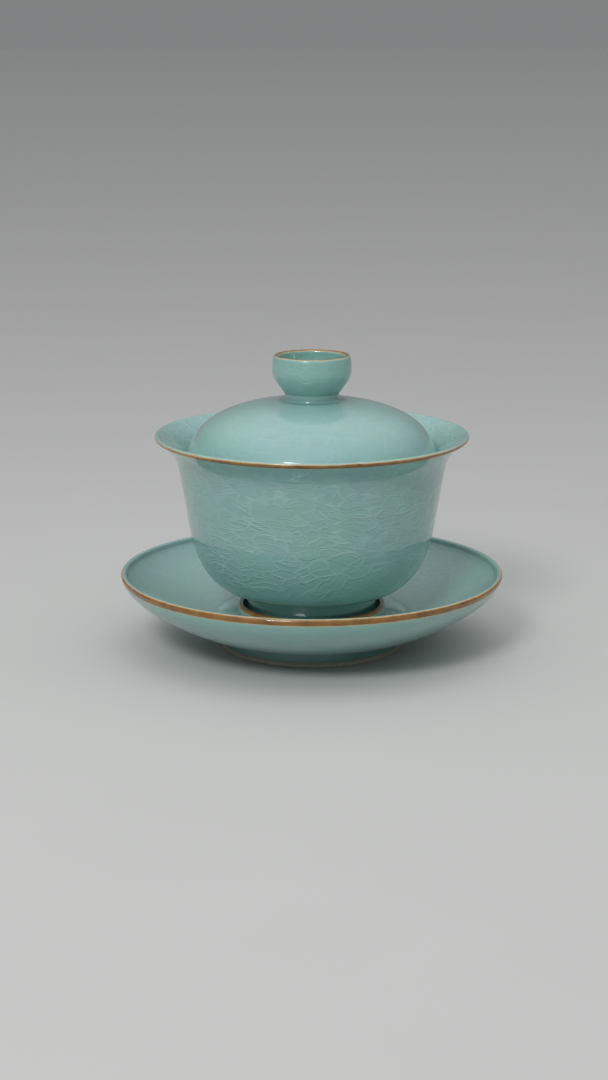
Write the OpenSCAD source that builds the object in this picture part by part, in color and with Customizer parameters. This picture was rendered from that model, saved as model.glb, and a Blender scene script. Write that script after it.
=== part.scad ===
// Lidded tea bowl on its saucer: three loose pieces of glazed stoneware, each thrown round one
// upright axis. Millimetres, +Z up, origin at the centre of the saucer's foot, on the table.
// The bowl stands in the ring on the saucer's floor, and the lid's rim sits down inside the bowl.

/* [Saucer] */
// Diameter of the saucer across its lip
saucer_d = 120.6; // [100:0.1:150]
// Height of the saucer's lip above the table
saucer_h = 24.3; // [18:0.1:32]
// Thickness of the saucer over its foot ring
saucer_wall = 4.75; // [3:0.05:6]
// Thickness of the saucer's lip
saucer_lip = 1.8; // [1.2:0.1:3]
// Width of the brown band at the saucer's lip, measured down the wall
saucer_band = 1.9; // [1.6:0.1:4]
// Slope of the saucer's wall at its lip, from level
saucer_rise = 72; // [45:0.5:85]
// Length over which the saucer's underside runs out level from its foot
saucer_run = 10.3; // [4:0.1:14]
// Length over which the saucer's underside straightens below its lip
saucer_turn = 6.2; // [3:0.1:10]
// Height of the saucer's foot ring on its outer face
saucer_foot_h = 5.05; // [3:0.05:8]
// Width of the saucer's foot ring
saucer_foot_w = 3.4; // [2:0.1:5]
// How much deeper the saucer is hollowed inside its foot ring than outside it
saucer_hollow = 1.0; // [0.2:0.1:2]
// How far the saucer's foot stands outside the ring that holds the bowl
saucer_foot_step = 5.3; // [1:0.1:10]
// Height of the ring that holds the bowl, above the saucer's floor
seat_h = 4.0; // [2:0.1:6]
// Width of the ring that holds the bowl
seat_w = 1.8; // [1.2:0.1:3]
// Gap all round between the bowl's foot and the ring that holds it
seat_gap = 1.0; // [0.5:0.1:2]

/* [Bowl] */
// Diameter of the bowl's mouth across its lip
mouth_d = 98; // [80:0.5:120]
// Height of the bowl from the bottom of its foot to its lip
bowl_h = 58.15; // [48:0.05:75]
// Thickness of the bowl's wall
bowl_wall = 2.4; // [1.8:0.1:3.2]
// Thickness of the bowl's lip
bowl_lip = 1.4; // [1:0.1:2]
// Width of the brown band at the bowl's lip, measured down the wall
bowl_band = 1.6; // [1.2:0.1:4]
// How far the lip stands out beyond the top of the straight wall
flare_out = 7.85; // [4:0.05:12]
// Height of the flared part of the wall
flare_h = 13.6; // [8:0.1:18]
// Slope of the wall at the lip, from level
flare_rise = 35; // [20:1:60]
// Length over which the wall starts to turn outwards into the flare
flare_start = 4.2; // [2:0.1:8]
// Length over which the flare straightens below the lip
flare_end = 6.9; // [3:0.1:9]
// How far the straight wall leans outwards over its height
wall_lean = 2.7; // [1:0.1:5]
// Height of the rounded belly above the foot ring
belly_h = 20.1; // [14:0.1:24]
// Length over which the belly runs out level from the foot
belly_run = 11.7; // [6:0.1:14]
// Length over which the belly turns upright into the straight wall
belly_turn = 9.0; // [4:0.1:12]
// Outer diameter of the bowl's foot ring
bowl_foot_d = 41.2; // [32:0.1:50]
// Height of the bowl's foot ring on its outer face
bowl_foot_h = 7.85; // [5:0.05:10]
// Width of the bowl's foot ring
bowl_foot_w = 3.0; // [2:0.1:4.5]
// Thickness of the bowl's base inside its foot ring
bowl_base = 3.4; // [2.6:0.1:5]
// Air left under the bowl's foot, where it stands on the saucer
stand_gap = 0.05; // [0.02:0.01:0.2]

/* [Lid] */
// How far the lowest edge of the lid sits below the bowl's lip
lid_drop = 11.25; // [9:0.05:16]
// Height of the lid from its lowest edge to the top of its dome
lid_h = 21.8; // [16:0.1:28]
// Thickness of the lid's wall
lid_wall = 2.4; // [1.8:0.1:3.2]
// Thickness of the lid's lip
lid_lip = 1.6; // [1.2:0.1:2.2]
// Width of the brown band at the lid's lip, measured up the wall
lid_band = 1.7; // [1.2:0.1:4]
// Clearance between the lid's lip and the wall of the bowl that it sits on
lid_gap = 0.15; // [0.05:0.05:0.5]
// Height over which the lid rises upright from its rim
lid_upright = 11.0; // [6:0.1:13]
// How far in from the rim the top of the dome starts to bend down
lid_shoulder = 9.0; // [6:0.1:14]
// Slope of the dome beside the knob, from level
lid_slope = 4.7; // [1:0.1:10]

/* [Knob] */
// Diameter of the knob across its lip
knob_d = 24.1; // [18:0.1:30]
// Height of the knob above the dome
knob_h = 14.1; // [10:0.1:18]
// Thickness of the knob's wall at the bottom of its cup
knob_wall = 2.2; // [1.6:0.1:3]
// Thickness of the knob's lip
knob_lip = 1.8; // [1.2:0.1:2.2]
// Width of the brown band at the knob's lip, measured down the wall
knob_band = 1.7; // [1.3:0.1:3]
// Diameter of the knob's neck
neck_d = 17.1; // [12:0.1:20]
// Height of the knob's neck
neck_h = 2.25; // [1.5:0.05:4]
// Radius of the fillet between the neck and the dome
neck_fillet = 0.9; // [0.4:0.1:1.4]
// Slope at which the knob's cup leaves its neck, from level
cup_flare = 55; // [30:1:70]
// Slope of the knob's wall at its lip, from level, leaning inwards past 90
cup_rise = 99.5; // [90:0.5:110]
// Length over which the knob's cup runs out from its neck
cup_run = 5.0; // [3:0.1:7]
// Length over which the knob's wall straightens below its lip
cup_turn = 5.7; // [3:0.1:7]

/* [Colours] */
// Celadon glaze on the outside and inside of all three pieces
glaze_colour = "#8CB4AC";
// Brown lip, where the glaze runs thin over an iron wash
rim_colour = "#8A5E34";
// Foot rings, with the glaze wiped off the clay where they stand
foot_colour = "#5F8A84";

/* [Hidden] */

$fn = 96;
// Number of straight steps in a curved stretch of a profile, and in a small round
CURVE_STEPS = 24;
ROUND_STEPS = 8;
// Radius of the rounded edges that a foot ring stands on
FOOT_EDGE = 0.6;

// Bowl's foot, and the ring and foot that the saucer needs around it
bowl_foot_r = bowl_foot_d / 2;
seat_r = bowl_foot_r + seat_gap + seat_w;
saucer_foot_r = seat_r + saucer_foot_step;

// Levels, from the table up
saucer_floor_z = saucer_foot_h + saucer_wall;
bowl_foot_z = saucer_floor_z + stand_gap;
belly_z = bowl_foot_z + bowl_foot_h;
bowl_top_z = bowl_foot_z + bowl_h;
lid_lip_z = bowl_top_z - lid_drop + lid_lip / 2;
dome_top_z = bowl_top_z - lid_drop + lid_h;

// ---- Profiles: points are [distance from the axis, height] ----

function heading(slope) = [cos(slope), sin(slope)];

// Turned a quarter to the left, at unit length
function left_of(v) = [-v.y, v.x] / norm(v);

// A cubic curve is a list of its start, its two handles and its end
function curve_point(c, t) =
    pow(1 - t, 3) * c[0] + 3 * pow(1 - t, 2) * t * c[1] + 3 * (1 - t) * t * t * c[2] + pow(t, 3) * c[3];

function curve_direction(c, t) =
    pow(1 - t, 2) * (c[1] - c[0]) + 2 * (1 - t) * t * (c[2] - c[1]) + t * t * (c[3] - c[2]);

// The face of a wall along a curve, and its back, which lies to the left of the face
// at a distance that runs evenly from wide to narrow
function face_of(c) = [for (k = [0:CURVE_STEPS]) curve_point(c, k / CURVE_STEPS)];

function back_of(c, wide, narrow) =
    [for (k = [0:CURVE_STEPS])
        let (t = k / CURVE_STEPS)
        curve_point(c, t) + (wide + (narrow - wide) * t) * left_of(curve_direction(c, t))];

function reversed(points) = [for (k = [len(points) - 1:-1:0]) points[k]];

function arc(centre, radius, from, to) =
    [for (k = [0:ROUND_STEPS]) centre + radius * heading(from + (to - from) * k / ROUND_STEPS)];

// Where a wall's face ends and its banded lip begins. The lip's round end is centred at tip.
function band_start(tip, thick, band, slope) =
    tip - (band - thick / 2) * heading(slope) - thick / 2 * left_of(heading(slope));

// A lip: a short straight wall with a round end
function lip_outline(tip, thick, band, slope) =
    let (start = band_start(tip, thick, band, slope))
    concat([start], arc(tip, thick / 2, slope - 90, slope + 90), [start + thick * left_of(heading(slope))]);

// A ring with square upper edges, standing on rounded lower ones
function foot_outline(outer_r, width, bottom, top) =
    concat(arc([outer_r - FOOT_EDGE, bottom + FOOT_EDGE], FOOT_EDGE, -90, 0),
           [[outer_r, top], [outer_r - width, top]],
           arc([outer_r - width + FOOT_EDGE, bottom + FOOT_EDGE], FOOT_EDGE, 180, 270));

module turned(outline) {
    rotate_extrude() polygon(outline);
}

// ---- Saucer ----

saucer_tip = [saucer_d / 2 - saucer_lip / 2, saucer_h - saucer_lip / 2];
saucer_wall_end = band_start(saucer_tip, saucer_lip, saucer_band, saucer_rise);
saucer_curve = [[saucer_foot_r, saucer_foot_h],
                [saucer_foot_r + saucer_run, saucer_foot_h],
                saucer_wall_end - saucer_turn * heading(saucer_rise),
                saucer_wall_end];

module saucer_dish() {
    hollow_r = saucer_foot_r - saucer_foot_w;
    color(glaze_colour)
        turned(concat([[0, saucer_foot_h + saucer_hollow],
                       [hollow_r, saucer_foot_h + saucer_hollow],
                       [hollow_r, saucer_foot_h]],
                      face_of(saucer_curve),
                      reversed(back_of(saucer_curve, saucer_wall, saucer_lip)),
                      [[0, saucer_floor_z]]));
}

module saucer_foot_ring() {
    color(foot_colour)
        turned(foot_outline(saucer_foot_r, saucer_foot_w, 0, saucer_foot_h));
}

// The ring stands on the saucer's floor, with a round top
module saucer_seat_ring() {
    crown = [seat_r - seat_w / 2, saucer_floor_z + seat_h - seat_w / 2];
    color(glaze_colour)
        turned(concat([[seat_r, saucer_floor_z]],
                      arc(crown, seat_w / 2, 0, 180),
                      [[seat_r - seat_w, saucer_floor_z]]));
}

module saucer_rim_band() {
    color(rim_colour)
        turned(lip_outline(saucer_tip, saucer_lip, saucer_band, saucer_rise));
}

// ---- Bowl ----

bowl_tip = [mouth_d / 2 - bowl_lip / 2, bowl_top_z - bowl_lip / 2];
waist = [mouth_d / 2 - flare_out, bowl_top_z - flare_h];
belly_top = [waist.x - wall_lean, belly_z + belly_h];
lean = (waist - belly_top) / norm(waist - belly_top);
flare_wall_end = band_start(bowl_tip, bowl_lip, bowl_band, flare_rise);

belly_curve = [[bowl_foot_r, belly_z],
               [bowl_foot_r + belly_run, belly_z],
               belly_top - belly_turn * lean,
               belly_top];
flare_curve = [waist,
               waist + flare_start * lean,
               flare_wall_end - flare_end * heading(flare_rise),
               flare_wall_end];

bowl_face = concat(face_of(belly_curve), face_of(flare_curve));
bowl_back = concat(back_of(belly_curve, bowl_wall, bowl_wall),
                   back_of(flare_curve, bowl_wall, bowl_lip));

module bowl_shell() {
    hollow_r = bowl_foot_r - bowl_foot_w;
    base_z = belly_z + bowl_wall - bowl_base;
    color(glaze_colour)
        turned(concat([[0, base_z], [hollow_r, base_z], [hollow_r, belly_z]],
                      bowl_face,
                      reversed(bowl_back),
                      [[0, belly_z + bowl_wall]]));
}

module bowl_foot_ring() {
    color(foot_colour)
        turned(foot_outline(bowl_foot_r, bowl_foot_w, bowl_foot_z, belly_z));
}

module bowl_rim_band() {
    color(rim_colour)
        turned(lip_outline(bowl_tip, bowl_lip, bowl_band, flare_rise));
}

// ---- Lid ----

// The lid's lip is as wide as the bowl lets it be at its own height. The middle of the lip
// stays half its thickness and the clearance away from the back of the bowl's wall.
lip_room = lid_lip / 2 + lid_gap;
lip_room_curve = concat(back_of(belly_curve, bowl_wall + lip_room, bowl_wall + lip_room),
                        back_of(flare_curve, bowl_wall + lip_room, bowl_lip + lip_room));
lid_tip = [lookup(lid_lip_z, [for (p = lip_room_curve) [p.y, p.x]]), lid_lip_z];
lid_r = lid_tip.x + lid_lip / 2;
lid_wall_start = lid_lip_z + lid_band - lid_lip / 2;
collar_r = neck_d / 2 + neck_fillet;

dome_curve = [[lid_r, lid_wall_start],
              [lid_r, lid_wall_start + lid_upright],
              [lid_r - lid_shoulder, dome_top_z - (lid_r - lid_shoulder - collar_r) * tan(lid_slope)],
              [collar_r, dome_top_z]];

module lid_dome() {
    dome_back = back_of(dome_curve, lid_lip, lid_wall);
    ceiling_z = dome_back[CURVE_STEPS].y;
    color(glaze_colour)
        turned(concat(face_of(dome_curve),
                      [[0, dome_top_z], [0, ceiling_z]],
                      reversed(dome_back)));
}

module lid_rim_band() {
    color(rim_colour)
        turned(lip_outline(lid_tip, lid_lip, lid_band, -90));
}

// ---- Knob, a small open cup on a neck ----

knob_tip = [knob_d / 2 - knob_lip / 2, dome_top_z + knob_h - knob_lip / 2];
cup_wall_end = band_start(knob_tip, knob_lip, knob_band, cup_rise);
cup_start = [neck_d / 2, dome_top_z + neck_h];
cup_curve = [cup_start,
             cup_start + cup_run * heading(cup_flare),
             cup_wall_end - cup_turn * heading(cup_rise),
             cup_wall_end];

module lid_knob() {
    cup_back = back_of(cup_curve, knob_wall, knob_lip);
    fillet_centre = [collar_r, dome_top_z + neck_fillet];
    color(glaze_colour)
        turned(concat([[0, dome_top_z]],
                      arc(fillet_centre, neck_fillet, 270, 180),
                      face_of(cup_curve),
                      reversed(cup_back),
                      [[0, cup_back[0].y]]));
}

module knob_rim_band() {
    color(rim_colour)
        turned(lip_outline(knob_tip, knob_lip, knob_band, cup_rise));
}

saucer_dish();
saucer_foot_ring();
saucer_seat_ring();
saucer_rim_band();
bowl_shell();
bowl_foot_ring();
bowl_rim_band();
lid_dome();
lid_rim_band();
lid_knob();
knob_rim_band();
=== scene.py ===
import math

import bpy
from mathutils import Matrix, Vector


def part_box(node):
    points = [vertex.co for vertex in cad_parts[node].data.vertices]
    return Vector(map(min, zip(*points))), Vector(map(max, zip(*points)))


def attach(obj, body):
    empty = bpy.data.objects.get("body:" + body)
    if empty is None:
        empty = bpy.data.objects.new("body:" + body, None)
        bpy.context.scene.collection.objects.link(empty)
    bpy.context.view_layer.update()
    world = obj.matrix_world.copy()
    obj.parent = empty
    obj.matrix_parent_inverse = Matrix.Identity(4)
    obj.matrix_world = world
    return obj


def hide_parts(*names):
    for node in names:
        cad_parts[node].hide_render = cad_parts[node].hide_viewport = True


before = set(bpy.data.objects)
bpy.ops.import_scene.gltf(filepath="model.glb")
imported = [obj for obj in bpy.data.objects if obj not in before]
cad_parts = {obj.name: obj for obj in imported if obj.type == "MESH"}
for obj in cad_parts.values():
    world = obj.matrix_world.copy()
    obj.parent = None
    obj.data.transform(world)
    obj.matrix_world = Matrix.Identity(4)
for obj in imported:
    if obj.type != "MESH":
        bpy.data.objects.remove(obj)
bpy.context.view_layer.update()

MM = 0.001


# ---- Saucer ----
# A thick stoneware dish, thrown and then turned on its underside, glazed inside and outside. It has
# a foot ring turned from the same clay, a ring pressed onto its floor to hold the bowl's foot, and
# a lip brushed with iron wash, which shows brown where the glaze runs off it.

CURVE_STEPS = 56
ARC_STEPS = 14
FLOOR_SPACING = 1.6 * MM
TURNS = 256


def heading(slope):
    """One unit along a slope, given in degrees from level, as (outwards, up)."""
    return Vector((math.cos(math.radians(slope)), math.sin(math.radians(slope))))


def left_of(step):
    return Vector((-step.y, step.x)).normalized()


def along(curve, wide=0.0, narrow=0.0):
    """Points along a cubic curve, set off to its left by wide at its start and narrow at its end."""
    start, first, second, end = curve
    points = []
    for k in range(CURVE_STEPS + 1):
        t = k / CURVE_STEPS
        s = 1 - t
        place = start * s**3 + first * (3 * s * s * t) + second * (3 * s * t * t) + end * t**3
        step = (first - start) * (s * s) + (second - first) * (2 * s * t) + (end - second) * (t * t)
        points.append(place + left_of(step) * (wide + (narrow - wide) * t))
    return points


def arc(centre, radius, start, end):
    return [centre + heading(start + (end - start) * k / ARC_STEPS) * radius for k in range(ARC_STEPS + 1)]


def straight(start, end):
    """Evenly spaced points from start to end, both included."""
    count = max(1, round((end - start).length / FLOOR_SPACING))
    return [start.lerp(end, k / count) for k in range(count + 1)]


def wall_end(tip, thick, band, slope):
    """Where a wall's face ends and its banded lip begins; the lip's round end is centred at tip."""
    return tip - heading(slope) * (band - thick / 2) - left_of(heading(slope)) * (thick / 2)


def lip_outline(tip, thick, band, slope):
    start = wall_end(tip, thick, band, slope)
    back = start + left_of(heading(slope)) * thick
    return straight(start, tip - left_of(heading(slope)) * (thick / 2)) \
        + arc(tip, thick / 2, slope - 90, slope + 90) \
        + straight(tip + left_of(heading(slope)) * (thick / 2), back) + straight(back, start)


def foot_outline(outer_r, inner_r, bottom, top, edge):
    return arc(Vector((outer_r - edge, bottom + edge)), edge, -90, 0) \
        + straight(Vector((outer_r, bottom + edge)), Vector((outer_r, top))) \
        + straight(Vector((outer_r, top)), Vector((inner_r, top))) \
        + straight(Vector((inner_r, top)), Vector((inner_r, bottom + edge))) \
        + arc(Vector((inner_r + edge, bottom + edge)), edge, 180, 270) \
        + [Vector((outer_r - edge, bottom))]


# The wheel and the potter's hands leave each piece a tenth of a millimetre out of round. The drift
# is read from the place alone, so pieces that meet stay together.
WOBBLE = 0.22 * MM
WOBBLE_REACH = 42 * MM
wobbles = {}
for axis, cloud in (("X", "ORIGINAL_PERLIN"), ("Y", "IMPROVED_PERLIN")):
    wobbles[axis] = bpy.data.textures.new("throwing_wobble_" + axis.lower(), "CLOUDS")
    wobbles[axis].noise_scale = WOBBLE_REACH
    wobbles[axis].noise_depth = 0
    wobbles[axis].noise_basis = cloud


def turned(name, outline):
    """Draws an outline vertex by vertex beside the axis, and spins it once round."""
    path = [outline[0]]
    for point in outline[1:]:
        if (point - path[-1]).length > 1e-6:
            path.append(point)
    bpy.ops.object.select_all(action="DESELECT")
    bpy.ops.mesh.primitive_plane_add(size=MM, location=(path[0].x, 0, path[0].y))
    piece = bpy.context.object
    piece.name = name
    bpy.ops.object.mode_set(mode="EDIT")
    bpy.ops.mesh.merge(type="CENTER")
    for here, there in zip(path, path[1:]):
        step = (there.x - here.x, 0, there.y - here.y)
        bpy.ops.mesh.extrude_vertices_move(TRANSFORM_OT_translate={"value": step})
    bpy.ops.mesh.select_all(action="SELECT")
    bpy.ops.mesh.spin(steps=TURNS, angle=math.tau, center=(0, 0, 0), axis=(0, 0, 1))
    bpy.ops.mesh.select_all(action="SELECT")
    bpy.ops.mesh.remove_doubles(threshold=0.002 * MM)
    bpy.ops.mesh.normals_make_consistent(inside=False)
    bpy.ops.object.mode_set(mode="OBJECT")
    bpy.ops.object.transform_apply(location=True)
    for axis, texture in wobbles.items():
        drift = piece.modifiers.new("drift_" + axis.lower(), "DISPLACE")
        drift.texture = texture
        drift.direction = axis
        drift.strength = WOBBLE
        bpy.ops.object.modifier_apply(modifier=drift.name)
    bpy.ops.object.shade_smooth_by_angle(angle=math.radians(35))
    return piece


def linear(hex_colour):
    """An sRGB hex colour as the linear colour that a shader takes."""
    parts = [int(hex_colour[k:k + 2], 16) / 255 for k in (1, 3, 5)]
    return [p / 12.92 if p <= 0.04045 else ((p + 0.055) / 1.055)**2.4 for p in parts] + [1.0]


def add(tree, kind, links=None, **settings):
    """Adds a node of a kind, with its settings, and fills its inputs with values or from other nodes."""
    made = tree.nodes.new("ShaderNode" + kind)
    for name, value in settings.items():
        setattr(made, name, value)
    for name, value in (links or {}).items():
        if isinstance(value, bpy.types.NodeSocket):
            tree.links.new(value, made.inputs[name])
        else:
            made.inputs[name].default_value = value
    return made


def new_material(name):
    """An empty material, its node tree, and the place on the piece that its patterns start from."""
    material = bpy.data.materials.new(name)
    material.use_nodes = True
    tree = material.node_tree
    tree.nodes.clear()
    return material, tree, add(tree, "TexCoord").outputs["Object"]


def profile_place(tree, place):
    """The place in the turned profile: distance from the axis, height and nothing."""
    flat = add(tree, "VectorMath", {0: place, 1: (1, 1, 0)}, operation="MULTIPLY").outputs[0]
    radius = add(tree, "VectorMath", {0: flat}, operation="LENGTH").outputs["Value"]
    height = add(tree, "SeparateXYZ", {0: place}).outputs["Z"]
    return add(tree, "CombineXYZ", {"X": radius, "Y": height}).outputs[0]


# Celadon: a thick feldspar glaze coloured by a little iron and fired without air. It is a milky
# blue-green glass. As it cools it shrinks more than the clay, and cracks into fine curved scales,
# which the eye sees as pale embossed waves under a surface that is itself smooth and very glossy.
CELADON_BLUE = "#8BB2B1"
CELADON_GREEN = "#87B4AB"
# The colour of thick glaze, also used as painted shade low on the bowl
CELADON_DEEP = "#568984"
CRACK_PALE = "#BBD8D2"
# Pale cream beside the brown: partly glaze breaking golden, partly a painted highlight along the lip's crest
BREAK_AND_CREST_HIGHLIGHT = "#C4AB7C"
IRON_BROWN = "#936622"
IRON_DARK = "#764C15"
PATCH_SIZE = 26 * MM

# Scales about 7 mm long and 3 mm high, and waves between them. Both are swept along and rippled, and
# they show more in some places than in others.
SCALE_SIZE = 7.0 * MM
SCALE_FLATTENING = 2.5
WAVE_SIZE = 8.5 * MM
SWEEP_SIZE = 14 * MM
SWEEP = (7 * MM, 7 * MM, 5 * MM)
RIPPLE_SIZE = 4 * MM
RIPPLE = (1.8 * MM, 1.8 * MM, 1.4 * MM)
FADING_SIZE = 9 * MM
CRACK_DEPTH = 0.16 * MM

# The brown on an edge: how uneven its border is, and how soon the glaze beside it is thick again
BORDER_SIZE = 3 * MM
BORDER_DRIFT = 0.3 * MM
STREAK_SIZE = 6 * MM
GOLDEN_WIDTH = 0.25 * MM
GLAZE_STARTS = 0.15 * MM
GLAZE_IS_THICK = 0.5 * MM

# The glossy surface rolls by a tenth of a millimetre
ROLL_SIZE = 7 * MM
ROLL_DEPTH = 0.10 * MM


def celadon_glaze(name, brown, brown_reach, pool_and_shade_at, pool_and_shade_reach, crackle):
    """Celadon that runs thin over the iron wash on an edge, and is darker round a hollow corner, by deep
    glaze and, where the reach is long, by painted shade.

    The middle of the brown edge and the corner are places in the turned profile. Crackle is how
    plainly the cracks show, from 0 to 1."""
    material, tree, place = new_material(name)
    profile = profile_place(tree, place)

    # Patches of bluer and greener glaze
    patches = add(tree, "TexNoise", {"Vector": place, "Scale": 1 / PATCH_SIZE, "Detail": 3.0,
                                     "Roughness": 0.6}).outputs["Fac"]
    patch = add(tree, "MapRange", {"Value": patches, "From Min": 0.36, "From Max": 0.64},
                interpolation_type="SMOOTHSTEP").outputs[0]
    body = add(tree, "Mix", {0: patch, 6: linear(CELADON_BLUE), 7: linear(CELADON_GREEN)},
               data_type="RGBA").outputs[2]

    # Crackle: a net of flattened scales with waves running between them
    sweep = add(tree, "TexNoise", {"Vector": place, "Scale": 1 / SWEEP_SIZE, "Detail": 0.0})
    ripple = add(tree, "TexNoise", {"Vector": place, "Scale": 1 / RIPPLE_SIZE, "Detail": 0.0})
    swept = add(tree, "VectorMath", {0: sweep.outputs["Color"], 1: SWEEP, 2: place},
                operation="MULTIPLY_ADD").outputs[0]
    rippled = add(tree, "VectorMath", {0: ripple.outputs["Color"], 1: RIPPLE, 2: swept},
                  operation="MULTIPLY_ADD").outputs[0]
    net = add(tree, "VectorMath", {0: rippled, 1: (1, 1, SCALE_FLATTENING)}, operation="MULTIPLY").outputs[0]
    scale_edge = add(tree, "TexVoronoi", {"Vector": net, "Scale": 1 / SCALE_SIZE},
                     feature="DISTANCE_TO_EDGE").outputs["Distance"]
    scale_line = add(tree, "MapRange", {"Value": scale_edge, "From Min": 0.0, "From Max": 0.10,
                                        "To Min": 1.0, "To Max": 0.0},
                     interpolation_type="SMOOTHSTEP").outputs[0]
    waves = add(tree, "TexNoise", {"Vector": net, "Scale": 1 / WAVE_SIZE, "Detail": 0.0}).outputs["Fac"]
    off_crest = add(tree, "Math", {0: waves, 1: 0.5}, operation="SUBTRACT").outputs[0]
    from_crest = add(tree, "Math", {0: off_crest}, operation="ABSOLUTE").outputs[0]
    wave_line = add(tree, "MapRange", {"Value": from_crest, "From Min": 0.0, "From Max": 0.035,
                                       "To Min": 1.0, "To Max": 0.0},
                    interpolation_type="SMOOTHSTEP").outputs[0]
    fork_line = add(tree, "Math", {0: scale_line, 1: 0.75}, operation="MULTIPLY").outputs[0]
    lines = add(tree, "Math", {0: fork_line, 1: wave_line}, operation="MAXIMUM").outputs[0]
    fading = add(tree, "TexNoise", {"Vector": place, "Scale": 1 / FADING_SIZE, "Detail": 1.0}).outputs["Fac"]
    faded = add(tree, "MapRange", {"Value": fading, "From Min": 0.35, "From Max": 0.6,
                                   "To Min": 0.5, "To Max": 1.0}).outputs[0]
    cracks = add(tree, "Math", {0: lines, 1: faded}, operation="MULTIPLY").outputs[0]
    pale_share = add(tree, "Math", {0: cracks, 1: 0.27 * crackle}, operation="MULTIPLY").outputs[0]
    cracked = add(tree, "Mix", {0: pale_share, 6: body, 7: linear(CRACK_PALE)}, data_type="RGBA").outputs[2]

    # Each scale leans a little. Painted shade: its colour is made lighter on one side of each scale and
    # darker on the other, as well as the lean's bump below.
    scale_heart = add(tree, "TexVoronoi", {"Vector": net, "Scale": 1 / SCALE_SIZE},
                      feature="F1").outputs["Position"]
    from_heart = add(tree, "VectorMath", {0: net, 1: scale_heart}, operation="SUBTRACT").outputs[0]
    upwards = (0.2 / SCALE_SIZE, 0.2 / SCALE_SIZE, 1 / SCALE_SIZE)
    lean = add(tree, "VectorMath", {0: from_heart, 1: upwards}, operation="DOT_PRODUCT").outputs["Value"]
    shade = add(tree, "Math", {0: lean, 1: 0.08 * crackle, 2: 1.0}, operation="MULTIPLY_ADD").outputs[0]
    painted_lean_shading = add(tree, "VectorMath", {0: cracked, "Scale": shade}, operation="SCALE").outputs[0]

    # Darker glaze round the hollow corner: deep glaze near it, and where the reach is long, as on the bowl's
    # belly, painted shade low on the piece.
    from_pool_and_shade = add(tree, "VectorMath", {0: profile, 1: (pool_and_shade_at[0], pool_and_shade_at[1], 0)},
                    operation="DISTANCE").outputs["Value"]
    pool_and_shade_share = add(tree, "MapRange", {"Value": from_pool_and_shade, "From Min": 0.0, "From Max": pool_and_shade_reach,
                                   "To Min": 0.8, "To Max": 0.0}, interpolation_type="SMOOTHSTEP").outputs[0]
    pooled_and_shaded = add(tree, "Mix", {0: pool_and_shade_share, 6: painted_lean_shading, 7: linear(CELADON_DEEP)}, data_type="RGBA").outputs[2]

    # Iron wash on the edge, seen brown through the thinnest glaze. Beside it lies a pale cream band: partly
    # the glaze breaking golden, partly a painted highlight along the lip's crest.
    from_brown = add(tree, "VectorMath", {0: profile, 1: (brown[0], brown[1], 0)},
                     operation="DISTANCE").outputs["Value"]
    border = add(tree, "TexNoise", {"Vector": place, "Scale": 1 / BORDER_SIZE, "Detail": 2.0}).outputs["Fac"]
    edge = add(tree, "Math", {0: border, 1: BORDER_DRIFT, 2: from_brown}, operation="MULTIPLY_ADD").outputs[0]
    streaks = add(tree, "TexNoise", {"Vector": place, "Scale": 1 / STREAK_SIZE, "Detail": 3.0}).outputs["Fac"]
    strength = add(tree, "MapRange", {"Value": streaks, "From Min": 0.35, "From Max": 0.65}).outputs[0]
    wash = add(tree, "Mix", {0: strength, 6: linear(IRON_DARK), 7: linear(IRON_BROWN)},
               data_type="RGBA").outputs[2]
    break_and_highlight_share = add(tree, "MapRange", {"Value": edge, "From Min": brown_reach,
                                    "From Max": brown_reach + GOLDEN_WIDTH},
                 interpolation_type="SMOOTHSTEP").outputs[0]
    lip = add(tree, "Mix", {0: break_and_highlight_share, 6: wash, 7: linear(BREAK_AND_CREST_HIGHLIGHT)}, data_type="RGBA").outputs[2]
    thick = add(tree, "MapRange", {"Value": edge, "From Min": brown_reach + GLAZE_STARTS,
                                   "From Max": brown_reach + GLAZE_IS_THICK},
                interpolation_type="SMOOTHSTEP").outputs[0]
    colour = add(tree, "Mix", {0: thick, 6: lip, 7: pooled_and_shaded}, data_type="RGBA").outputs[2]

    # The cracks lie under the surface; the surface itself only rolls gently
    relief = add(tree, "Math", {0: lean, 1: 0.35, 2: cracks}, operation="MULTIPLY_ADD").outputs[0]
    under = add(tree, "Bump", {"Height": relief, "Strength": 0.9 * crackle,
                               "Distance": CRACK_DEPTH}).outputs[0]
    roll = add(tree, "TexNoise", {"Vector": place, "Scale": 1 / ROLL_SIZE, "Detail": 2.0,
                                  "Roughness": 0.45}).outputs["Fac"]
    surface = add(tree, "Bump", {"Height": roll, "Strength": 0.5, "Distance": ROLL_DEPTH}).outputs[0]

    shader = add(tree, "BsdfPrincipled", {
        "Base Color": colour, "Roughness": 0.42, "IOR": 1.5, "Specular IOR Level": 0.3, "Normal": under,
        "Coat Weight": 1.0, "Coat Roughness": 0.05, "Coat IOR": 1.52, "Coat Normal": surface,
        "Subsurface Weight": 0.15, "Subsurface Radius": (0.8, 1.3, 1.2), "Subsurface Scale": 1.0 * MM})
    add(tree, "OutputMaterial", {"Surface": shader.outputs[0]})
    return material


# Foot of turned stoneware: glazed down its sides, and wiped bare where it stands, so that it doesn't
# stick to the kiln shelf. The bare clay is a matt grey with fine grit, and toasts brown at the glaze.
BARE_CLAY = "#B4B0A4"
CLAY_GRIT = "#86827A"
TOASTED = "#8C7B66"
FOOT_GREEN = "#5B8E86"
GRIT_SIZE = 0.5 * MM
GRIT_HEIGHT = 0.08 * MM
WIPE_SIZE = 6 * MM
WIPE_DRIFT = 0.8 * MM
GLAZE_FRONT = 0.12 * MM
TOAST_REACH = 0.9 * MM


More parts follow.
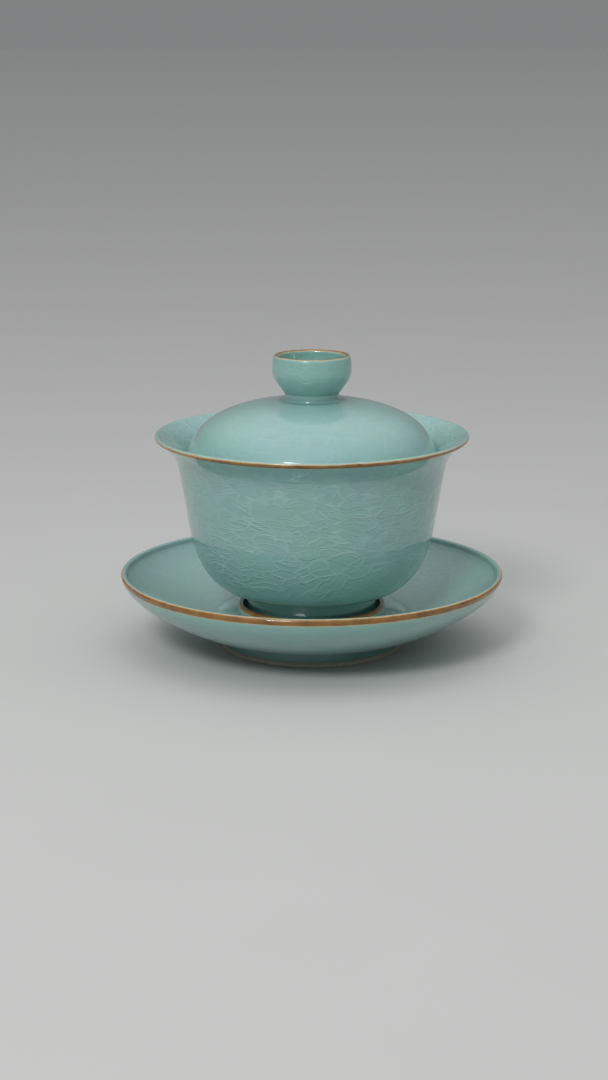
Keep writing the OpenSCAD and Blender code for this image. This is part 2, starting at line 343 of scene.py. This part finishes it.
def wiped_foot(name, bare_below):
    """Stoneware that is bare below a height, give or take half of the wipe's drift, and glazed above it."""
    material, tree, place = new_material(name)
    height = add(tree, "SeparateXYZ", {0: place}).outputs["Z"]
    wipe = add(tree, "TexNoise", {"Vector": place, "Scale": 1 / WIPE_SIZE, "Detail": 3.0}).outputs["Fac"]
    level = add(tree, "Math", {0: wipe, 1: -WIPE_DRIFT, 2: height}, operation="MULTIPLY_ADD").outputs[0]
    front = bare_below - WIPE_DRIFT / 2
    glazed = add(tree, "MapRange", {"Value": level, "From Min": front - GLAZE_FRONT,
                                    "From Max": front + GLAZE_FRONT},
                 interpolation_type="SMOOTHSTEP").outputs[0]
    grit = add(tree, "TexNoise", {"Vector": place, "Scale": 1 / GRIT_SIZE, "Detail": 4.0,
                                  "Roughness": 0.7}).outputs["Fac"]
    grains = add(tree, "MapRange", {"Value": grit, "From Min": 0.42, "From Max": 0.7}).outputs[0]
    clay = add(tree, "Mix", {0: grains, 6: linear(BARE_CLAY), 7: linear(CLAY_GRIT)},
               data_type="RGBA").outputs[2]
    toast = add(tree, "MapRange", {"Value": level, "From Min": front - TOAST_REACH, "From Max": front,
                                   "To Max": 0.75}, interpolation_type="SMOOTHSTEP").outputs[0]
    toasted = add(tree, "Mix", {0: toast, 6: clay, 7: linear(TOASTED)}, data_type="RGBA").outputs[2]
    patches = add(tree, "TexNoise", {"Vector": place, "Scale": 1 / PATCH_SIZE, "Detail": 2.0}).outputs["Fac"]
    deep = add(tree, "Mix", {0: patches, 6: linear(CELADON_DEEP), 7: linear(FOOT_GREEN)},
               data_type="RGBA").outputs[2]
    colour = add(tree, "Mix", {0: glazed, 6: toasted, 7: deep}, data_type="RGBA").outputs[2]
    roughness = add(tree, "MapRange", {"Value": glazed, "To Min": 0.85, "To Max": 0.14}).outputs[0]
    grain_height = add(tree, "Math", {0: grit, 1: glazed}, operation="MAXIMUM").outputs[0]
    surface = add(tree, "Bump", {"Height": grain_height, "Strength": 0.5, "Distance": GRIT_HEIGHT}).outputs[0]
    shader = add(tree, "BsdfPrincipled", {
        "Base Color": colour, "Roughness": roughness, "IOR": 1.5, "Normal": surface, "Coat Weight": glazed,
        "Coat Roughness": 0.06, "Coat IOR": 1.52})
    add(tree, "OutputMaterial", {"Surface": shader.outputs[0]})
    return material


def place_piece(piece, material, body, node):
    """Gives a piece its finish, and puts it on its body in place of its CAD node."""
    piece.data.materials.append(material)
    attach(piece, body)
    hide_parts(node)


saucer_wall = 4.75 * MM
saucer_lip = 1.8 * MM
saucer_band = 1.9 * MM
saucer_rise = 72
saucer_run = 10.3 * MM
saucer_turn = 6.2 * MM
saucer_hollow = 1.0 * MM
saucer_foot_w = 3.4 * MM
foot_edge = 0.6 * MM
seat_w = 1.8 * MM

saucer_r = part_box("saucer_rim_band")[1].x
saucer_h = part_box("saucer_rim_band")[1].z
saucer_foot_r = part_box("saucer_foot_ring")[1].x
saucer_foot_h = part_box("saucer_foot_ring")[1].z
seat_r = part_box("saucer_seat_ring")[1].x
seat_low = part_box("saucer_seat_ring")[0].z
seat_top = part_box("saucer_seat_ring")[1].z
hollow_r = saucer_foot_r - saucer_foot_w

saucer_tip = Vector((saucer_r - saucer_lip / 2, saucer_h - saucer_lip / 2))
saucer_end = wall_end(saucer_tip, saucer_lip, saucer_band, saucer_rise)
saucer_curve = [Vector((saucer_foot_r, saucer_foot_h)), Vector((saucer_foot_r + saucer_run, saucer_foot_h)),
                saucer_end - heading(saucer_rise) * saucer_turn, saucer_end]
saucer_back = along(saucer_curve, saucer_wall, saucer_lip)
ceiling = saucer_foot_h + saucer_hollow
dish = turned("glazed_saucer_dish", straight(Vector((0, ceiling)), Vector((hollow_r, ceiling)))
              + straight(Vector((hollow_r, ceiling)), Vector((hollow_r, saucer_foot_h)))
              + straight(Vector((hollow_r, saucer_foot_h)), saucer_curve[0])
              + along(saucer_curve) + saucer_back[::-1]
              + straight(saucer_back[0], Vector((0, seat_low))))
saucer_foot = turned("turned_saucer_foot", foot_outline(saucer_foot_r, hollow_r, 0, saucer_foot_h, foot_edge))
seat_crown = Vector((seat_r - seat_w / 2, seat_top - seat_w / 2))
seat = turned("pressed_seat_ring", straight(Vector((seat_r, seat_low)), Vector((seat_r, seat_crown.y)))
              + arc(seat_crown, seat_w / 2, 0, 180)
              + straight(Vector((seat_r - seat_w, seat_crown.y)), Vector((seat_r - seat_w, seat_low)))
              + straight(Vector((seat_r - seat_w, seat_low)), Vector((seat_r, seat_low))))
saucer_edge = turned("washed_saucer_lip", lip_outline(saucer_tip, saucer_lip, saucer_band, saucer_rise))


def brown_middle(tip, thick, slope, share):
    """The middle of the brown on a lip: on its outer side, by a share of the lip's half thickness."""
    return tip - left_of(heading(slope)) * (share * thick / 2)


seat_corner = (seat_r, seat_low)
seat_crest = (seat_crown.x, seat_top)

# The brown's middle and reach, the corner where the glaze is deep and dark and how far the darkening reaches,
# and the crackle
saucer_glaze = (brown_middle(saucer_tip, saucer_lip, saucer_rise, 0.6), 0.9 * MM, seat_corner, 9 * MM, 0.35)
seat_glaze = (seat_crest, 1.5 * MM, seat_corner, 4.5 * MM, 0.3)
saucer_bare = 1.8 * MM

place_piece(dish, celadon_glaze("celadon_on_saucer", *saucer_glaze),
            "saucer", "saucer_dish")
place_piece(saucer_foot, wiped_foot("wiped_saucer_foot_stoneware", saucer_bare),
            "saucer", "saucer_foot_ring")
place_piece(seat, celadon_glaze("celadon_breaking_on_seat_ring", *seat_glaze),
            "saucer", "saucer_seat_ring")
place_piece(saucer_edge, celadon_glaze("iron_washed_saucer_lip", *saucer_glaze),
            "saucer", "saucer_rim_band")


# ---- Bowl ----
# The tea bowl, thrown thin, with a round belly, a straight wall and a flared mouth that stays cool
# enough to hold. Its foot ring stands loose inside the ring on the saucer's floor.

bowl_wall = 2.4 * MM
bowl_lip = 1.4 * MM
bowl_band = 1.6 * MM
flare_out = 7.85 * MM
flare_h = 13.6 * MM
flare_rise = 35
flare_start = 4.2 * MM
flare_end = 6.9 * MM
wall_lean = 2.7 * MM
belly_h = 20.1 * MM
belly_run = 11.7 * MM
belly_turn = 9.0 * MM
bowl_foot_w = 3.0 * MM
bowl_base = 3.4 * MM

mouth_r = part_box("bowl_rim_band")[1].x
bowl_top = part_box("bowl_rim_band")[1].z
bowl_foot_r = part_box("bowl_foot_ring")[1].x
bowl_foot_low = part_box("bowl_foot_ring")[0].z
belly_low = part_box("bowl_foot_ring")[1].z
well_r = bowl_foot_r - bowl_foot_w
well_top = belly_low + bowl_wall - bowl_base

bowl_tip = Vector((mouth_r - bowl_lip / 2, bowl_top - bowl_lip / 2))
waist = Vector((mouth_r - flare_out, bowl_top - flare_h))
belly_top = Vector((waist.x - wall_lean, belly_low + belly_h))
lean = (waist - belly_top).normalized()
bowl_end = wall_end(bowl_tip, bowl_lip, bowl_band, flare_rise)
belly_curve = [Vector((bowl_foot_r, belly_low)), Vector((bowl_foot_r + belly_run, belly_low)),
               belly_top - lean * belly_turn, belly_top]
flare_curve = [waist, waist + lean * flare_start, bowl_end - heading(flare_rise) * flare_end, bowl_end]
side = left_of(lean) * bowl_wall
bowl_back = along(belly_curve, bowl_wall, bowl_wall) + straight(belly_top + side, waist + side) \
    + along(flare_curve, bowl_wall, bowl_lip)
bowl = turned("thrown_tea_bowl", straight(Vector((0, well_top)), Vector((well_r, well_top)))
              + straight(Vector((well_r, well_top)), Vector((well_r, belly_low)))
              + straight(Vector((well_r, belly_low)), belly_curve[0])
              + along(belly_curve) + straight(belly_top, waist) + along(flare_curve)
              + bowl_back[::-1] + straight(bowl_back[0], Vector((0, belly_low + bowl_wall))))
bowl_foot = turned("turned_bowl_foot", foot_outline(bowl_foot_r, well_r, bowl_foot_low, belly_low, foot_edge))
bowl_edge = turned("washed_bowl_lip", lip_outline(bowl_tip, bowl_lip, bowl_band, flare_rise))

belly_corner = (bowl_foot_r, belly_low)
# On the bowl the darkening reaches 14 mm up the belly: deep glaze by the foot, and painted shade low on the
# bowl above it.
bowl_glaze = (brown_middle(bowl_tip, bowl_lip, flare_rise, 0.7), 0.72 * MM, belly_corner, 14 * MM, 1.0)
bowl_bare = 1.6 * MM
place_piece(bowl, celadon_glaze("celadon_on_bowl", *bowl_glaze),
            "bowl", "bowl_shell")
place_piece(bowl_foot, wiped_foot("wiped_bowl_foot_stoneware", bowl_foot_low + bowl_bare),
            "bowl", "bowl_foot_ring")
place_piece(bowl_edge, celadon_glaze("iron_washed_bowl_lip", *bowl_glaze),
            "bowl", "bowl_rim_band")


# ---- Lid and its knob ----
# A domed lid that rests inside the bowl's flared mouth, so that a gap can be opened to pour. Its knob
# is a small open cup on a short neck: it is thrown apart, joined on, and stands the lid upside down.

lid_wall = 2.4 * MM
lid_lip = 1.6 * MM
lid_band = 1.7 * MM
lid_upright = 11.0 * MM
lid_shoulder = 9.0 * MM
lid_slope = 4.7
knob_wall = 2.2 * MM
knob_lip = 1.8 * MM
knob_band = 1.7 * MM
neck_r = 8.55 * MM
neck_h = 2.25 * MM
neck_fillet = 0.9 * MM
cup_flare = 55
cup_rise = 99.5
cup_run = 5.0 * MM
cup_turn = 5.7 * MM
knob_r = 12.05 * MM

lid_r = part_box("lid_rim_band")[1].x
lid_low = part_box("lid_rim_band")[0].z
dome_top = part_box("lid_dome")[1].z
knob_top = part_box("knob_rim_band")[1].z
collar_r = neck_r + neck_fillet

lid_tip = Vector((lid_r - lid_lip / 2, lid_low + lid_lip / 2))
wall_start = Vector((lid_r, lid_tip.y + lid_band - lid_lip / 2))
shoulder_r = lid_r - lid_shoulder
shoulder_z = dome_top - (shoulder_r - collar_r) * math.tan(math.radians(lid_slope))
dome_curve = [wall_start, wall_start + Vector((0, lid_upright)), Vector((shoulder_r, shoulder_z)),
              Vector((collar_r, dome_top))]
dome_back = along(dome_curve, lid_lip, lid_wall)
under_dome = Vector((0, dome_back[-1].y))
dome = turned("thrown_lid_dome", straight(under_dome, dome_back[-1]) + dome_back[::-1]
              + straight(dome_back[0], wall_start) + along(dome_curve)
              + straight(dome_curve[-1], Vector((0, dome_top))))
lid_edge = turned("washed_lid_lip", lip_outline(lid_tip, lid_lip, lid_band, -90))

knob_tip = Vector((knob_r - knob_lip / 2, knob_top - knob_lip / 2))
cup_end = wall_end(knob_tip, knob_lip, knob_band, cup_rise)
cup_start = Vector((neck_r, dome_top + neck_h))
cup_curve = [cup_start, cup_start + heading(cup_flare) * cup_run,
             cup_end - heading(cup_rise) * cup_turn, cup_end]
cup_back = along(cup_curve, knob_wall, knob_lip)
fillet = arc(Vector((collar_r, dome_top + neck_fillet)), neck_fillet, 270, 180)
knob = turned("thrown_knob_cup", straight(Vector((0, dome_top)), fillet[0]) + fillet
              + straight(fillet[-1], cup_start) + along(cup_curve) + cup_back[::-1]
              + straight(cup_back[0], Vector((0, cup_back[0].y))))
knob_edge = turned("washed_knob_lip", lip_outline(knob_tip, knob_lip, knob_band, cup_rise))

crest_reach = 0.58 * MM
crest_share = 0.8
lid_crackle = 0.35
lid_crest = lid_tip + heading(-90) * (crest_share * lid_lip / 2)
knob_crest = knob_tip + heading(cup_rise) * (crest_share * knob_lip / 2)
collar = (collar_r, dome_top)
lid_glaze = (lid_crest, crest_reach, collar, 2.3 * MM, lid_crackle)
knob_glaze = (knob_crest, crest_reach, collar, 4.0 * MM, lid_crackle)
place_piece(dome, celadon_glaze("celadon_on_lid", *lid_glaze),
            "lid", "lid_dome")
place_piece(lid_edge, celadon_glaze("iron_washed_lid_lip", *lid_glaze),
            "lid", "lid_rim_band")
place_piece(knob, celadon_glaze("celadon_on_knob", *knob_glaze),
            "lid", "lid_knob")
place_piece(knob_edge, celadon_glaze("iron_washed_knob_lip", *knob_glaze),
            "lid", "knob_rim_band")


# ---- Studio ----
# A wide floor of pale, matt paper with a pool of light painted on it: its colour turns greyer far off. It
# lies in a room with a bright ceiling. One soft light stands in front of the object, to the left and above
# it.

PAPER = "#C6C6C4"
PAPER_MOTTLE = "#CACAC8"
PAPER_PAINTED_DIM_FAR = "#939392"
MOTTLE_SIZE = 60 * MM
FLOOR_REACH = 30

bpy.ops.object.select_all(action="DESELECT")
bpy.ops.mesh.primitive_circle_add(vertices=128, radius=FLOOR_REACH, fill_type="NGON", location=(0, 0, 0))
floor = bpy.context.object
floor.name = "studio_floor"
paper, tree, place = new_material("matt_studio_paper")
mottle = add(tree, "TexNoise", {"Vector": place, "Scale": 1 / MOTTLE_SIZE, "Detail": 2.0}).outputs["Fac"]
near = add(tree, "Mix", {0: mottle, 6: linear(PAPER), 7: linear(PAPER_MOTTLE)}, data_type="RGBA").outputs[2]
# Painted light pool: the paper fades from pale near the object to greyer far off
outwards = add(tree, "VectorMath", {0: place}, operation="LENGTH").outputs["Value"]
beyond = add(tree, "Math", {0: outwards, 1: 1.0}, operation="ADD").outputs[0]
painted_light_pool = add(tree, "Math", {0: 1.0, 1: beyond}, operation="DIVIDE").outputs[0]
paper_with_painted_light = add(tree, "Mix", {0: painted_light_pool, 6: linear(PAPER_PAINTED_DIM_FAR), 7: near}, data_type="RGBA").outputs[2]
matt = add(tree, "BsdfPrincipled", {"Base Color": paper_with_painted_light, "Roughness": 0.9, "Specular IOR Level": 0.1})
add(tree, "OutputMaterial", {"Surface": matt.outputs[0]})
floor.data.materials.append(paper)


def soft_light(name, place, aim, width, height, watts, colour):
    lamp = bpy.data.lights.new(name, "AREA")
    lamp.shape = "RECTANGLE"
    lamp.size = width
    lamp.size_y = height
    lamp.energy = watts
    lamp.color = linear(colour)[:3]
    holder = bpy.data.objects.new(name, lamp)
    bpy.context.scene.collection.objects.link(holder)
    holder.location = place
    holder.rotation_euler = (Vector(aim) - Vector(place)).to_track_quat("-Z", "Y").to_euler()


middle = (0, 0, bowl_top / 2)
soft_light("front_softbox", (-0.34, -0.92, 0.76), middle, 0.30, 0.24, 5.8, "#FFFFFF")

# The ceiling is bright straight above, and falls off to grey walls near the height of the table
HORIZON = 0.24
CEILING = 1.2
world = bpy.data.worlds.new("dim_room")
bpy.context.scene.world = world
world.use_nodes = True
tree = world.node_tree
tree.nodes.clear()
upward = add(tree, "SeparateXYZ", {0: add(tree, "TexCoord").outputs["Generated"]}).outputs["Z"]
brightness = add(tree, "MapRange", {"Value": upward, "From Min": 0.25, "From Max": 1.0,
                                    "To Min": HORIZON, "To Max": CEILING},
                 interpolation_type="SMOOTHSTEP").outputs[0]
room = add(tree, "Background", {"Color": linear("#F4F6F7"), "Strength": brightness})
add(tree, "OutputWorld", {"Surface": room.outputs[0]})
bpy.context.scene.view_settings.view_transform = "Standard"

# The camera stands back from the object and looks a little down on it, with the bowl near the middle
# of an upright frame
view = bpy.data.cameras.new("view")
view.lens = 70
view.sensor_width = 36
camera = bpy.data.objects.new("view", view)
bpy.context.scene.collection.objects.link(camera)
camera.location = (0, -645.13 * MM, 188.85 * MM)
camera.rotation_euler = (math.radians(90 - 13.53), 0, math.radians(0.217))
bpy.context.scene.camera = camera
